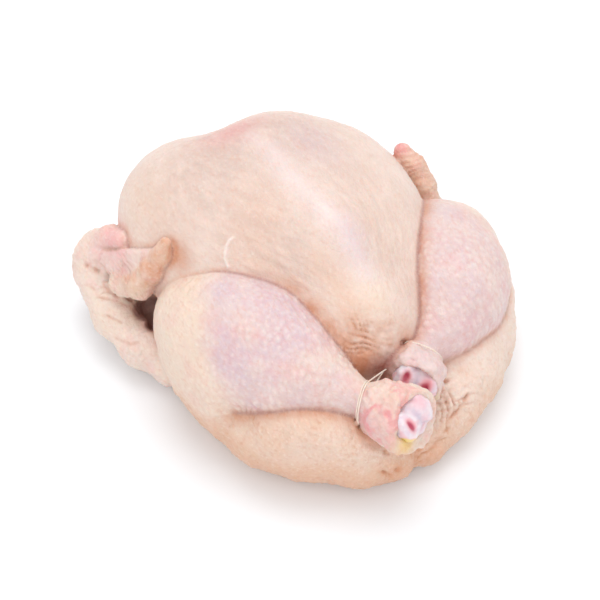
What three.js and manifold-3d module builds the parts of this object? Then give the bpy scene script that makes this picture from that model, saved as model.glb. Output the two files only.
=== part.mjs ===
// A whole raw chicken, plucked and trussed, lying on its back with the breast up.
// Millimetres, +Z up, +Y towards the neck, -Y towards the tail. "Left" is the -X side.
//
// The bird is one rounded body, so it is written as a distance field: a function of a point in space that
// is negative inside the flesh and positive outside. Eggs make the breast, back and belly, and chains of
// balls of changing radius make the limbs. Smooth minimums blend neighbours, with a small blend where skin
// lies against skin in a fold and a large one where one muscle runs into the next. A surface net then turns
// the field into a closed mesh.
import * as THREE from 'three';
import { mergeVertices } from 'three/addons/utils/BufferGeometryUtils.js';
import Module from 'manifold-3d';

// ---------------------------------------------------------------------------------- driving dimensions
// The middle of the bird's plan, in the coordinates of the joints below. It becomes the origin.
const PLAN_MIDDLE = [-3.75, 0.25, 0];

// The legs. Their joints are the knee, the ankle and the end of the hock, and the bow bends the drumstick
// sideways. A girth is a list of pairs, a share of the length and the radius there. The cut across the hock
// goes through its end and faces the cut direction. The cartilage sits in it at the seat, its two lobes side
// by side along the lobes direction. The elastic runs round the ring point, about the ring axis. Drumstick
// and thigh run softly together on the knee's side of the fold.
const LEFT_LEG = {
  knee: [-62, 9, 49], ankle: [-19.6, -79.8, 55.4], end: [-4.5, -105.5, 56.4], bow: [-4.3, -2, -0.5],
  drumstickGirth: [[0, 25], [0.16, 31], [0.36, 33], [0.56, 25.8], [0.76, 15.4], [0.93, 8.3], [1, 6.5]],
  hockScale: 1, cut: [0.37, -0.88, 0.3], seat: [-4.8, -104.6, 59.4], lobes: [0.886, 0.431, 0.177],
  ring: [-20.6, -81.4, 55.4], ringAxis: [0.73, -0.68, 0.05],
  fold: { through: [-73, -49], kneeSide: [-0.6, 0.8], over: 14 },
};
const RIGHT_LEG = {
  knee: [66, 5, 49], ankle: [21.9, -61.4, 50], end: [8.9, -77.7, 49.5], bow: [13.2, -4, -1],
  drumstickGirth: [[0, 21.5], [0.16, 26.6], [0.36, 28.4], [0.56, 25.3], [0.76, 16.8], [0.93, 8], [1, 5.5]],
  hockScale: 0.87, cut: [-0.7, -0.7, 0.12], seat: [9.6, -78.5, 49.8], lobes: [0.66, -0.686, -0.305],
  ring: [21.9, -62.9, 50], ringAxis: [-0.7, -0.6, -0.38],
  fold: { through: [0, -34], kneeSide: [0, 1], over: 40 },
};
const LEGS = [LEFT_LEG, RIGHT_LEG];
const HOCK_GIRTH = [[0, 6.5], [0.4, 12.8], [0.75, 16], [1, 16.5]];

// Balls [x, y, z, radius] inside the thighs.
const LEFT_THIGH = [
  [-60, 8, 38, 22], [-61, -6, 29, 22.5], [-60, -26, 25, 22], [-54, -47, 23, 21.5],
  [-42, -65, 23.5, 20.5], [-21, -82, 21, 17], [-9, -91, 17, 11],
];
// Balls inside the flap of the left thigh that lies up against the drumstick.
const LEFT_FLAP = [
  [-62, -55, 26, 15], [-54, -65, 33.8, 14.5], [-45, -72, 37, 14], [-35, -79, 36.3, 13], [-25, -87, 33, 12],
];
const RIGHT_THIGH = [
  [70, -8, 36, 23], [69, -24, 30, 24], [59, -43, 25, 23], [46, -59.5, 21.5, 19.8],
  [30, -74, 18.5, 14.8], [12.5, -88.5, 12, 9.8],
];
const SOFTEST_KNEE = 26; // blend between drumstick and thigh on the knee's side
const TIGHT_FOLD = 3; // blend in the folds where skin lies on skin
const HAND_BLEND = 5; // blend between the fingers, the web and the forearm
const WEB_THICKNESS = 9;
const WING_POCKET = [[-86, 38, 39, 7.5], [-79, 50, 22, 5]]; // balls that hollow out the left wing's inside

// Knuckle of cartilage that shows in each cut hock: two lobes on a flat pad, and a neck inside the leg.
const LOBE_RADII = [5.8, 9.8, 7.5]; // across, up and along the leg
const LOBE_SPREAD = 6.2; // from the middle to each lobe
const KNUCKLE_PAD = { centre: [0, -3, -3], radii: [11.5, 11.5, 4] };
const LOBE_BLEND = 2;
const KNUCKLE_PROUD = 5; // how far the lobes stand out of the skin
const KNUCKLE_NECK = { radius: 6.5, depth: 15 };
const SKIN_GAP = 0.35; // between skin and what touches it

// The elastic: one thin loop in a figure of eight, twice round the left ankle and once round the right.
const ELASTIC_RADIUS = 0.8;
const ELASTIC_LIFT = 0.5; // clear space between the elastic and the skin
const ELASTIC_ROOM = 5.6; // how far other flesh is pressed away from the ankle where the elastic runs
const ELASTIC_PITCH = 2.6; // between its two turns
const ELASTIC_STEPS = 104;
const ELASTIC_SIDES = 5;

// Grid that the surface net is drawn on: finer at the sides, where the wings are.
const GRID_STEP = { middle: 7, side: 4.6, along: 6, up: 5.6 };
const GRID_REACH = { side: 118, wings: 68, tail: -122, neck: 124, top: 112, floor: -9 };
const KNUCKLE_GRID = 3.4;
const KNUCKLE_REACH = 22;
const THINNEST = 4.5; // radius of the thinnest limb that this grid still draws

const COLOURS = { skin: 0xf0d3c4, cartilage: 0xe2cdd6, elastic: 0xf3e9dc };

// ------------------------------------------------------------------------------------ distance fields
const smoothMin = (a, b, k) => {
  const h = Math.max(k - Math.abs(a - b), 0) / k;
  return Math.min(a, b) - h * h * k * 0.25;
};
const smoothMax = (a, b, k) => -smoothMin(-a, -b, k);
const smoothStep = (x, from, to) => THREE.MathUtils.smoothstep(x, from, to);
const blend = (k, first, ...others) => (x, y, z) =>
  others.reduce((d, field) => smoothMin(d, field(x, y, z), k), first(x, y, z));

// An egg: an ellipsoid turned by degrees about X, Y and Z.
function egg(centre, radii, turn = [0, 0, 0]) {
  const angles = turn.map(THREE.MathUtils.degToRad);
  const m = new THREE.Matrix4().makeRotationFromEuler(new THREE.Euler(...angles, 'ZYX')).elements;
  return (x, y, z) => {
    const [dx, dy, dz] = [x - centre[0], y - centre[1], z - centre[2]];
    const u = (dx * m[0] + dy * m[1] + dz * m[2]) / radii[0];
    const v = (dx * m[4] + dy * m[5] + dz * m[6]) / radii[1];
    const w = (dx * m[8] + dy * m[9] + dz * m[10]) / radii[2];
    const scaled = Math.hypot(u, v, w);
    const slope = Math.hypot(u / radii[0], v / radii[1], w / radii[2]);
    return (scaled * (scaled - 1)) / Math.max(slope, 1e-6);
  };
}

// A cone with a ball at each end; a and b are [x, y, z, radius].
function roundCone(a, b) {
  const axis = [b[0] - a[0], b[1] - a[1], b[2] - a[2]];
  const length2 = axis[0] ** 2 + axis[1] ** 2 + axis[2] ** 2;
  const taper = a[3] - b[3];
  const slant2 = Math.max(length2 - taper * taper, 1e-3);
  return (x, y, z) => {
    const [px, py, pz] = [x - a[0], y - a[1], z - a[2]];
    const along = px * axis[0] + py * axis[1] + pz * axis[2];
    const beyond = along - length2;
    const off2 = [px, py, pz].reduce((sum, p, i) => sum + (p * length2 - axis[i] * along) ** 2, 0);
    const k = Math.sign(taper) * taper * taper * off2;
    if (Math.sign(beyond) * slant2 * beyond * beyond * length2 > k)
      return Math.sqrt(off2 + beyond * beyond * length2) / length2 - b[3];
    if (Math.sign(along) * slant2 * along * along * length2 < k)
      return Math.sqrt(off2 + along * along * length2) / length2 - a[3];
    return (Math.sqrt((off2 * slant2) / length2) + along * taper) / length2 - a[3];
  };
}

const chain = (k, balls) => blend(k, ...balls.slice(1).map((ball, i) => roundCone(balls[i], ball)));

// A flat web of skin between three corners, with round edges.
function web(corners, thickness) {
  const triangle = new THREE.Triangle(...corners.map((c) => new THREE.Vector3(...c)));
  const point = new THREE.Vector3();
  const nearest = new THREE.Vector3();
  return (x, y, z) => {
    triangle.closestPointToPoint(point.set(x, y, z), nearest);
    return nearest.distanceTo(point) - thickness / 2;
  };
}

// Balls along a limb from one joint to the next. The bow bends it sideways, most at half length.
function limb(from, to, girth, scale = 1, bow = [0, 0, 0]) {
  return girth.map(([t, radius]) => [
    ...from.map((start, i) => start + (to[i] - start) * t + bow[i] * 4 * t * (1 - t)),
    radius * scale,
  ]);
}

// -------------------------------------------------------------------------------------- the bird's parts
// Back, both breast fillets, the neck end, the keel that runs down to the vent, and the belly.
function torsoField() {
  const fillets = blend(
    12,
    egg([0, 17, 42], [68, 81, 45]),
    egg([-35, 49, 59], [49, 66, 42.5], [0, -16, 16]),
    egg([25, 41, 56], [46, 62, 42], [0, 16, 0]),
    egg([2, 62, 61], [36, 44, 37]),
  );
  const keel = chain(12, [[4, 64, 71.5, 32], [0, 0, 75, 26], [-1, -36, 62, 18], [-2, -54, 58, 9]]);
  const belly = egg([2, -46, 20], [52, 42, 22]);
  const neckSkin = chain(8, [[-26, 84, 36, 15], [-4, 95, 30, 17], [20, 88, 34, 15]]);
  return blend(3, blend(12, blend(16, fillets, keel), belly), neckSkin);
}

const unit = (v) => v.map((c) => c / Math.hypot(...v));

// How far a point lies from the plane through a place, along a direction.
function planeField(through, direction) {
  const [nx, ny, nz] = unit(direction);
  return (x, y, z) => (x - through[0]) * nx + (y - through[1]) * ny + (z - through[2]) * nz;
}

// A drumstick with its hock, cut across the end where the foot was taken off.
function drumstickField(leg) {
  const drumstick = chain(8, limb(leg.knee, leg.ankle, leg.drumstickGirth, 1, leg.bow));
  const hock = chain(5, limb(leg.ankle, leg.end, HOCK_GIRTH, leg.hockScale));
  const pastCut = planeField(leg.end, leg.cut);
  return (x, y, z) => smoothMin(drumstick(x, y, z), smoothMax(hock(x, y, z), pastCut(x, y, z), 3), 2);
}

const stout = (balls) => balls.map(([x, y, z, radius]) => [x, y, z, Math.max(radius, THINNEST)]);

// The left wing is folded back on itself: upper arm, forearm, and a hand whose fingers are joined by a web.
function leftWingField() {
  const arm = blend(
    8,
    chain(8, [[-52, 66, 34, 20], [-64, 40, 18, 15], [-81, 16, 13, 9.5]]),
    chain(6, [[-81, 16, 13, 9.5], [-90.5, 33, 17, 12.2], [-96.5, 55, 22, 12.4], [-95.5, 83, 29, 13.6]]),
  );
  const underArm = web([[-55, 60, 22], [-83, 18, 12], [-90, 78, 20]], 9);
  const hand = blend(5, blend(6, arm, underArm), chain(5, [[-94, 88, 36, 11], [-93.5, 76, 40, 7]]));
  const finger = [
    [-92.5, 54, 44.5, 7], [-87.5, 40, 53, 6.6], [-81.5, 35.5, 66.5, 5.8], [-76.5, 34, 77, 4.7],
    [-74.5, 33, 85.5, 2.9],
  ];
  const thumb = [[-91, 90, 41, 7.8], [-88, 80, 52, 6.8], [-86, 66, 62.3, 5]];
  const skin = web([[-96.5, 79, 46], [-93, 53, 46], [-78, 35, 77]], WEB_THICKNESS);
  return blend(HAND_BLEND, hand, chain(4, stout(finger)), skin, chain(3, stout(thumb)));
}

// The right wing lies lower behind the bird, with its hand against the breast.
function rightWingField() {
  const arm = blend(
    8,
    chain(8, [[52, 60, 34, 20], [64, 32, 18, 15], [82, 2, 16, 14]]),
    chain(6, [[82, 2, 16, 14.5], [88, 32, 20, 13.5], [84, 60, 26, 12]]),
  );
  const finger = [[82, 58, 30, 10], [78, 33, 46, 6], [78, 39, 57, 5.6], [75, 46, 66, 5.4], [72, 53, 72, 4]];
  const thumb = [[80, 60, 34, 8], [74, 60, 42, 5]];
  return blend(HAND_BLEND, arm, chain(4, stout(finger)), chain(5, stout(thumb)));
}

// Room for the elastic round an ankle, between it and whatever lies against it.
function sleeve(leg) {
  const alongRing = planeField(leg.ring, leg.ringAxis);
  return (x, y, z, drumstickDistance) =>
    Math.hypot(Math.max(drumstickDistance, 0), alongRing(x, y, z)) - ELASTIC_ROOM;
}

// Blend between drumstick and thigh: soft on the knee's side of the fold line, tight on the other side.
function kneeBlend({ fold }) {
  const [nx, ny] = fold.kneeSide;
  return (x, y) => {
    const past = (x - fold.through[0]) * nx + (y - fold.through[1]) * ny;
    return THREE.MathUtils.lerp(TIGHT_FOLD, SOFTEST_KNEE, smoothStep(past, 0, fold.over));
  };
}

const carve = (distance, cutter) => smoothMax(distance, -cutter, 3);

// The whole body, flattened underneath where it rests.
function chickenField() {
  const torso = torsoField();
  const thighs = [blend(8, chain(12, LEFT_THIGH), chain(10, LEFT_FLAP)), chain(12, RIGHT_THIGH)];
  const drumsticks = LEGS.map(drumstickField);
  const sleeves = LEGS.map(sleeve);
  const knees = LEGS.map(kneeBlend);
  const channel = roundCone([...LEFT_LEG.ring, ELASTIC_ROOM], [...RIGHT_LEG.ring, ELASTIC_ROOM + 0.1]);
  const wings = [leftWingField(), rightWingField()];
  const pocket = chain(1, WING_POCKET);
  return (x, y, z) => {
    const legs = drumsticks.map((drumstick) => drumstick(x, y, z));
    const rings = sleeves.map((ring, i) => ring(x, y, z, legs[i]));
    const room = Math.min(...rings, channel(x, y, z));
    const flanks = thighs.map((thigh) => thigh(x, y, z));
    let body = flanks.reduce((d, flank) => smoothMin(d, flank, 12), torso(x, y, z));
    const hollow = pocket(x, y, z);
    body = carve(carve(body, room), hollow);
    flanks.forEach((flank, i) => {
      const limbDistance = smoothMin(carve(flank, room), carve(legs[i], rings[1 - i]), knees[i](x, y));
      body = smoothMin(body, limbDistance, 4);
    });
    for (const wing of wings) body = smoothMin(body, carve(wing(x, y, z), hollow), TIGHT_FOLD);
    return smoothMax(body, -z, 1);
  };
}

// A frame on a leg: across, up and along. Without a direction given, across is level.
function legFrame(direction, sideways) {
  const along = new THREE.Vector3(...direction).normalize();
  const level = new THREE.Vector3().crossVectors(new THREE.Vector3(0, 0, 1), along);
  const rough = sideways ? new THREE.Vector3(...sideways) : level;
  const up = new THREE.Vector3().crossVectors(along, rough).normalize();
  return { across: new THREE.Vector3().crossVectors(up, along), up, along };
}

// The cartilage in a cut hock, in a frame on the cut: x across, y up, z along, with z = 0 at the cut.
function knuckleField() {
  const front = KNUCKLE_PROUD - LOBE_RADII[2];
  const lobe = (side) => egg([side * LOBE_SPREAD, 0, front], LOBE_RADII);
  const { radius, depth } = KNUCKLE_NECK;
  const neck = roundCone([0, 0, front, radius + 1], [0, 0, radius - depth, radius]);
  const pad = egg(KNUCKLE_PAD.centre, KNUCKLE_PAD.radii);
  return blend(3, blend(LOBE_BLEND, lobe(-1), lobe(1), pad), neck);
}

// ---------------------------------------------------------------------------------------- surface net
const steps = (from, to, step) => {
  const count = Math.ceil((to - from) / step);
  return Array.from({ length: count + 1 }, (_, i) => from + ((to - from) * i) / count);
};

// In a face of the grid whose corners alternate, or a cell with only two opposite corners alike, two sheets
// of the surface would meet in an edge or a point. One outside corner is filled to keep them one sheet.
function fillPinches(value, [nx, ny, nz], at) {
  const filled = -1e-3;
  const inside = (i) => value[i] < 0;
  const faces = [[at(1, 0, 0), at(0, 1, 0)], [at(1, 0, 0), at(0, 0, 1)], [at(0, 1, 0), at(0, 0, 1)]];
  const corners = [0, 1, 2, 3, 4, 5, 6, 7].map((c) => at(c & 1, (c >> 1) & 1, c >> 2));
  for (let changed = true; changed; ) {
    changed = false;
    for (let k = 0; k < nz - 1; k++)
      for (let j = 0; j < ny - 1; j++)
        for (let i = 0; i < nx - 1; i++) {
          const base = at(i, j, k);
          for (const [u, v] of faces) {
            const a = inside(base);
            const [b, c, d] = [inside(base + u), inside(base + v), inside(base + u + v)];
            if (a !== d || a === b || b !== c) continue;
            value[a ? base + u : base] = filled;
            changed = true;
          }
          const signs = corners.map((c) => inside(base + c));
          const within = signs.filter(Boolean).length;
          if (within !== 2 && within !== 6) continue;
          const odd = within === 2;
          const c = [0, 1, 2, 3].find((corner) => signs[corner] === odd && signs[7 - corner] === odd);
          if (c === undefined) continue;
          value[base + corners[odd ? c ^ 1 : c]] = filled;
          changed = true;
        }
  }
}

function surfaceNet(field, [xs, ys, zs]) {
  const size = [xs.length, ys.length, zs.length];
  const at = (i, j, k) => i + size[0] * (j + size[1] * k);
  const value = new Float64Array(size[0] * size[1] * size[2]);
  for (let k = 0; k < size[2]; k++)
    for (let j = 0; j < size[1]; j++)
      for (let i = 0; i < size[0]; i++) value[at(i, j, k)] = field(xs[i], ys[j], zs[k]);
  fillPinches(value, size, at);

  const vertexOf = new Int32Array(value.length).fill(-1);
  const positions = [];
  const edges = [];
  for (let c = 0; c < 8; c++) for (const bit of [1, 2, 4]) if (!(c & bit)) edges.push([c, c | bit]);
  for (let k = 0; k < size[2] - 1; k++)
    for (let j = 0; j < size[1] - 1; j++)
      for (let i = 0; i < size[0] - 1; i++) {
        const sum = [0, 0, 0];
        let crossings = 0;
        for (const [a, b] of edges) {
          const [pa, pb] = [a, b].map((c) => [i + (c & 1), j + ((c >> 1) & 1), k + (c >> 2)]);
          const [va, vb] = [value[at(...pa)], value[at(...pb)]];
          if (va < 0 === vb < 0) continue;
          const t = va / (va - vb);
          [xs, ys, zs].forEach((axis, n) => (sum[n] += axis[pa[n]] + (axis[pb[n]] - axis[pa[n]]) * t));
          crossings++;
        }
        if (!crossings) continue;
        vertexOf[at(i, j, k)] = positions.length;
        positions.push(ontoSurface(field, sum.map((s) => s / crossings)));
      }

  // One quad across each grid edge that the surface crosses, joining the four cells round that edge.
  const triangles = [];
  const strides = [at(1, 0, 0), at(0, 1, 0), at(0, 0, 1)];
  for (let k = 1; k < size[2] - 1; k++)
    for (let j = 1; j < size[1] - 1; j++)
      for (let i = 1; i < size[0] - 1; i++)
        for (let n = 0; n < 3; n++) {
          const base = at(i, j, k);
          if (value[base] < 0 === value[base + strides[n]] < 0) continue;
          const [u, v] = [strides[(n + 1) % 3], strides[(n + 2) % 3]];
          const ring = [base - u - v, base - v, base, base - u].map((cell) => vertexOf[cell]);
          if (value[base] > 0) ring.reverse();
          const gap = (a, b) => Math.hypot(...positions[ring[a]].map((c, m) => c - positions[ring[b]][m]));
          const turn = gap(0, 2) <= gap(1, 3) ? 0 : 1;
          const [a, b, c, d] = [0, 1, 2, 3].map((m) => ring[(m + turn) % 4]);
          triangles.push(a, b, c, a, c, d);
        }
  return indexedGeometry(positions.flat(), triangles);
}

// Slides a point along the slope of the field until it lies on the surface.
function ontoSurface(field, point) {
  const e = 0.05;
  let [x, y, z] = point;
  for (let pass = 0; pass < 5; pass++) {
    const d = field(x, y, z);
    const slope = [
      (field(x + e, y, z) - field(x - e, y, z)) / (2 * e),
      (field(x, y + e, z) - field(x, y - e, z)) / (2 * e),
      (field(x, y, z + e) - field(x, y, z - e)) / (2 * e),
    ];
    const step = d / Math.max(slope[0] ** 2 + slope[1] ** 2 + slope[2] ** 2, 0.2);
    [x, y, z] = [x - slope[0] * step, y - slope[1] * step, z - slope[2] * step];
  }
  return [x, y, Math.abs(z) < 0.02 ? 0 : z];
}

// ------------------------------------------------------------------------------------ joins and cuts
function indexedGeometry(positions, triangles) {
  const geometry = new THREE.BufferGeometry();
  geometry.setAttribute('position', new THREE.Float32BufferAttribute(positions, 3));
  geometry.setIndex(triangles);
  return geometry;
}

const wasm = await Module();
wasm.setup();

function solidFrom(geometry) {
  const bare = geometry.clone();
  bare.deleteAttribute('normal');
  bare.deleteAttribute('uv');
  const merged = mergeVertices(bare, 1e-4);
  const mesh = new wasm.Mesh({
    numProp: 3,
    vertProperties: merged.attributes.position.array,
    triVerts: new Uint32Array(merged.index.array),
  });
  return new wasm.Manifold(mesh);
}

// Leaves out sealed hollows between folds, and loose scraps.
const largestBody = (solid) => solid.decompose().sort((a, b) => b.volume() - a.volume())[0];

function geometryFrom(solid) {
  const mesh = solid.getMesh();
  return indexedGeometry(Array.from(mesh.vertProperties), Array.from(mesh.triVerts));
}

// ------------------------------------------------------------------------------------------ sub-parts
// The knuckle, or with a gap the slightly larger shape of the socket that it sits in.
function knuckleGeometry(leg, gap = 0) {
  const field = knuckleField();
  const axis = steps(-KNUCKLE_REACH, KNUCKLE_REACH, KNUCKLE_GRID);
  const geometry = surfaceNet((x, y, z) => field(x, y, z) - gap, [axis, axis, axis]);
  const { across, up, along } = legFrame(leg.cut, leg.lobes);
  geometry.applyMatrix4(new THREE.Matrix4().makeBasis(across, up, along));
  return geometry.translate(...leg.seat);
}

function chickenGeometry(field) {
  const { side, wings, tail, neck, top, floor } = GRID_REACH;
  const flank = steps(wings, side, GRID_STEP.side).slice(1);
  const xs = [...flank.map((x) => -x).reverse(), ...steps(-wings, wings, GRID_STEP.middle), ...flank];
  const net = surfaceNet(field, [xs, steps(tail, neck, GRID_STEP.along), steps(floor, top, GRID_STEP.up)]);
  const cut = LEGS.reduce(
    (solid, leg) => solid.subtract(solidFrom(knuckleGeometry(leg, SKIN_GAP))),
    largestBody(solidFrom(net)),
  );
  const grooved = cut.subtract(solidFrom(elasticGeometry(SKIN_GAP)));
  return geometryFrom(largestBody(grooved));
}

// Points just off the skin round an ankle, from one angle to another, moving along the leg meanwhile.
// Angle 0 faces across the leg and 90 faces up.
function windings(leg, angles, places) {
  const drumstick = drumstickField(leg);
  const { across, up, along } = legFrame(leg.ringAxis);
  const count = Math.round(Math.abs(angles[1] - angles[0]) / 22.5);
  return Array.from({ length: count + 1 }, (_, i) => {
    const angle = THREE.MathUtils.degToRad(THREE.MathUtils.lerp(...angles, i / count));
    const outward = across.clone().multiplyScalar(Math.cos(angle)).addScaledVector(up, Math.sin(angle));
    const place = THREE.MathUtils.lerp(...places, i / count);
    const point = new THREE.Vector3(...leg.ring).addScaledVector(along, place);
    while (drumstick(...point) < ELASTIC_RADIUS + ELASTIC_LIFT) point.addScaledVector(outward, 0.1);
    return point;
  });
}

// Out of the left ankle's two turns at the top, round the right ankle from below, and back underneath.
function elasticGeometry(gap = 0) {
  const half = ELASTIC_PITCH / 2;
  const path = new THREE.CatmullRomCurve3(
    [...windings(LEFT_LEG, [675, 50], [-half, half]), ...windings(RIGHT_LEG, [230, 490], [half, -half])],
    true,
    'centripetal',
  );
  const tube = new THREE.TubeGeometry(path, ELASTIC_STEPS, ELASTIC_RADIUS + gap, ELASTIC_SIDES, true);
  return geometryFrom(solidFrom(tube));
}

// ------------------------------------------------------------------------------------------- the group
function piece(name, geometry, colour, roughness) {
  const material = new THREE.MeshStandardMaterial({ color: colour, roughness, metalness: 0 });
  const mesh = new THREE.Mesh(geometry.translate(...PLAN_MIDDLE.map((c) => -c)), material);
  mesh.name = name;
  return mesh;
}

const field = chickenField();
const bird = new THREE.Group();
bird.name = 'whole_raw_chicken';
bird.add(
  piece('chicken', chickenGeometry(field), COLOURS.skin, 0.45),
  piece('hock_cartilage_left', knuckleGeometry(LEFT_LEG), COLOURS.cartilage, 0.25),
  piece('hock_cartilage_right', knuckleGeometry(RIGHT_LEG), COLOURS.cartilage, 0.25),
  piece('truss_elastic', elasticGeometry(), COLOURS.elastic, 0.5),
);

export default bird;
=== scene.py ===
"""A whole raw chicken on its back: the skin, the cartilage ends of both hocks and the elastic round them.

The bird is one distance field in millimetres, with +Y towards the neck and +Z up. It is meshed as a surface
net, moved on to the field, and given its relief and the strength of each tint point by point.
"""

import math
from concurrent.futures import ThreadPoolExecutor
from itertools import product

import bpy
import numpy as np
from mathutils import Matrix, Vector


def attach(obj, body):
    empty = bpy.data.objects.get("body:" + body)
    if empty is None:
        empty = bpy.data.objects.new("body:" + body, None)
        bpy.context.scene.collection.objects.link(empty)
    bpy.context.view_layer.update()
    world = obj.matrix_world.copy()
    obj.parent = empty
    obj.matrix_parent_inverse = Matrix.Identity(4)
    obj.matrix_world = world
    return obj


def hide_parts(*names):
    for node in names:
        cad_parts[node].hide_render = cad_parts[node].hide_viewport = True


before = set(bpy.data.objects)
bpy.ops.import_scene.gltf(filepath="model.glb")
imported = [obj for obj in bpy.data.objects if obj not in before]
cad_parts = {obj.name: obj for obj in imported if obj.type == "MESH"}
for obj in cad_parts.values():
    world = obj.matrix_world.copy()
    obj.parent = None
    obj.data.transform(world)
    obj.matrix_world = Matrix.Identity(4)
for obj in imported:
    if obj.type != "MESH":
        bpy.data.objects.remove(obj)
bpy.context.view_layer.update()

MM = 0.001
PLAN_MIDDLE = np.array([-3.75, 0.25, 0])  # the middle of the plan, which is the part's origin

# ---------------- the bird's measures, in mm

# A girth is a list of pairs, a share of the length and the radius there. The bow bends the drumstick
# sideways. The cut across the hock goes through its end, and the cartilage sits in it at the seat. The
# elastic runs round the ring point, about the ring axis. Drumstick and thigh run softly together on the
# knee's side of the fold.
LEFT_LEG = dict(
    knee=(-62, 9, 49), ankle=(-19.6, -79.8, 55.4), end=(-4.5, -105.5, 56.4), bow=(-4.3, -2, -0.5),
    girth=[(0, 25), (0.16, 31), (0.36, 33), (0.56, 25.8), (0.76, 15.4), (0.93, 8.3), (1, 6.5)],
    hock_scale=1, cut=(0.37, -0.88, 0.30), seat=(-4.8, -104.6, 59.4), lobes=(0.886, 0.431, 0.177),
    ring=(-20.6, -81.4, 55.4), ring_axis=(0.73, -0.68, 0.05),
    fold=(-73, -49), knee_side=(-0.6, 0.8), soft_over=14)
RIGHT_LEG = dict(
    knee=(66, 5, 49), ankle=(21.9, -61.4, 50), end=(8.9, -77.7, 49.5), bow=(13.2, -4, -1),
    girth=[(0, 21.5), (0.16, 26.6), (0.36, 28.4), (0.56, 25.3), (0.76, 16.8), (0.93, 8), (1, 5.5)],
    hock_scale=0.87, cut=(-0.70, -0.70, 0.12), seat=(9.6, -78.5, 49.8), lobes=(0.66, -0.686, -0.305),
    ring=(21.9, -62.9, 50), ring_axis=(-0.70, -0.60, -0.38),
    fold=(0, -34), knee_side=(0, 1), soft_over=40)
LEGS = (LEFT_LEG, RIGHT_LEG)
DRUMSTICKS = ("drum_l", "drum_r")
HOCK_GIRTH = [(0, 6.5), (0.4, 12.8), (0.75, 16), (1, 16.5)]
DISH_RADIUS, DISH_DEPTH = 10.8, 2.4  # the hollow round the cartilage in the cut

# Balls (x, y, z, radius) inside the thighs, the left thigh's flap and the hollow behind the left hand.
LEFT_THIGH = [(-60, 8, 38, 22), (-61, -6, 29, 22.5), (-60, -26, 25, 22), (-54, -47, 23, 21.5),
              (-42, -65, 23.5, 20.5), (-21, -82, 21, 17), (-9, -91, 17, 11)]
LEFT_FLAP = [(-62, -55, 26, 15), (-54, -65, 33.8, 14.5), (-45, -72, 37, 14), (-35, -79, 36.3, 13),
             (-25, -87, 33, 12)]
RIGHT_THIGH = [(70, -8, 36, 23), (69, -24, 30, 24), (59, -43, 25, 23), (46, -59.5, 21.5, 19.8),
               (30, -74, 18.5, 14.8), (12.5, -88.5, 12, 9.8)]
WING_POCKET = [(-86, 38, 39, 7), (-79, 50, 22, 5), (-81, 42, 20, 3.5), (-85, 31.5, 31, 3.2)]
SOFTEST_KNEE, TIGHT_FOLD = 26, 2  # blends between drumstick and thigh, and where skin lies on skin
SLEEVE_ROOM = 2.2  # round the elastic

LOBE_RADII = (5.8, 9.8, 7.5)  # across, up and along the leg
LOBE_SPREAD = 6.2
KNUCKLE_PAD = dict(centre=(0, -3, -3), radii=(11.5, 11.5, 4))
KNUCKLE_PROUD = 5
KNUCKLE_NECK = dict(radius=6.5, depth=15)
KNUCKLE_REACH = 20
LEFT_PITS = [(-6.3, 3.2, 1.7, 4.2, 1.3)]  # across, up, half width, half height, depth
RIGHT_PITS = [(-5.5, 6.4, 2.4, 4.4, 1.8), (5, 4, 3, 5.6, 2.4)]

ELASTIC_RADIUS, ELASTIC_LIFT, ELASTIC_PITCH = 0.36, -0.16, 2.0
ELASTIC_STEPS, ELASTIC_SIDES = 5, 10  # points from corner to corner of its course, and sides of its tube
CORNER_TURN = 22.5  # degrees round the ankle from one corner to the next
LEFT_TURNS, RIGHT_TURNS = (675, 50), (230, 490)  # degrees round each ankle, from and to

SKIN_FINEST, KNUCKLE_FINEST = 1.0, 0.5  # sides of a quad
GRID_LOW, GRID_HIGH = (-118, -122, -6), (118, 124, 112)
BATCH = 20000  # points worked out at a time

# ---------------- the skin's marks and painted shade, in mm

# Folds that get painted shade, a rusty orange-brown line, on the first body, where it meets the second.
ONE_SIDED_FOLDS = [  # strength, bodies, width, extent
    (1, "thigh_l", "drum_l", 8, "left_knee"), (0.6, "drum_l", "thigh_l", 4, "left_knee"),
    (1, "torso", "drum_l", 12, "tail_half"), (0.7, "torso", "drum_l", 3.5, "all"),
    (0.2, "drum_l", "torso", 2, "all"), (0.95, "drum_r", "torso", 9, "all"),
    (0.5, "torso", "drum_r", 3.5, "all"), (0.7, "torso", "wing_l", 5, "all")]
# Folds that get such painted shade on both bodies.
TWO_SIDED_FOLDS = [
    (0.8, "drum_r", "thigh_r", 5, "right_knee"), (1, "drum_l", "drum_r", 5, "all"),
    (0.6, "wing_r", "torso", 5, "all"), (1, "wing_l", "drum_l", 4, "all"), (1, "thumb", "web", 3, "thumb")]
# The dark bottom of the folds, which gets painted shade.
DEEP_FOLDS = [
    (1, "drum_l", "thigh_l", 2, "left_knee"), (0.7, "drum_r", "thigh_r", 1.8, "right_knee"),
    (0.9, "drum_l", "torso", 1.7, "all"), (1, "drum_r", "torso", 2.2, "all"),
    (1, "drum_l", "drum_r", 2, "all"), (0.8, "wing_l", "torso", 1.6, "all"),
    (0.8, "wing_r", "torso", 2, "all"), (1, "wing_l", "drum_l", 1.8, "all"), (1, "thumb", "web", 2, "thumb")]
TIGHTEST = 0.3  # how far two bodies may be from a point that lies at the bottom of their fold
THUMB_ROOT, THUMB_REACH = (-88, 68, 58), 9
# The vent's opening, painted dark as the shade inside it.
VENT, VENT_REACH = (-3, -66, 55), (9, 7, 8)
TAIL_END, TAIL_REACH = (-9, -58, 67), (17, 12, 13)

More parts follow.
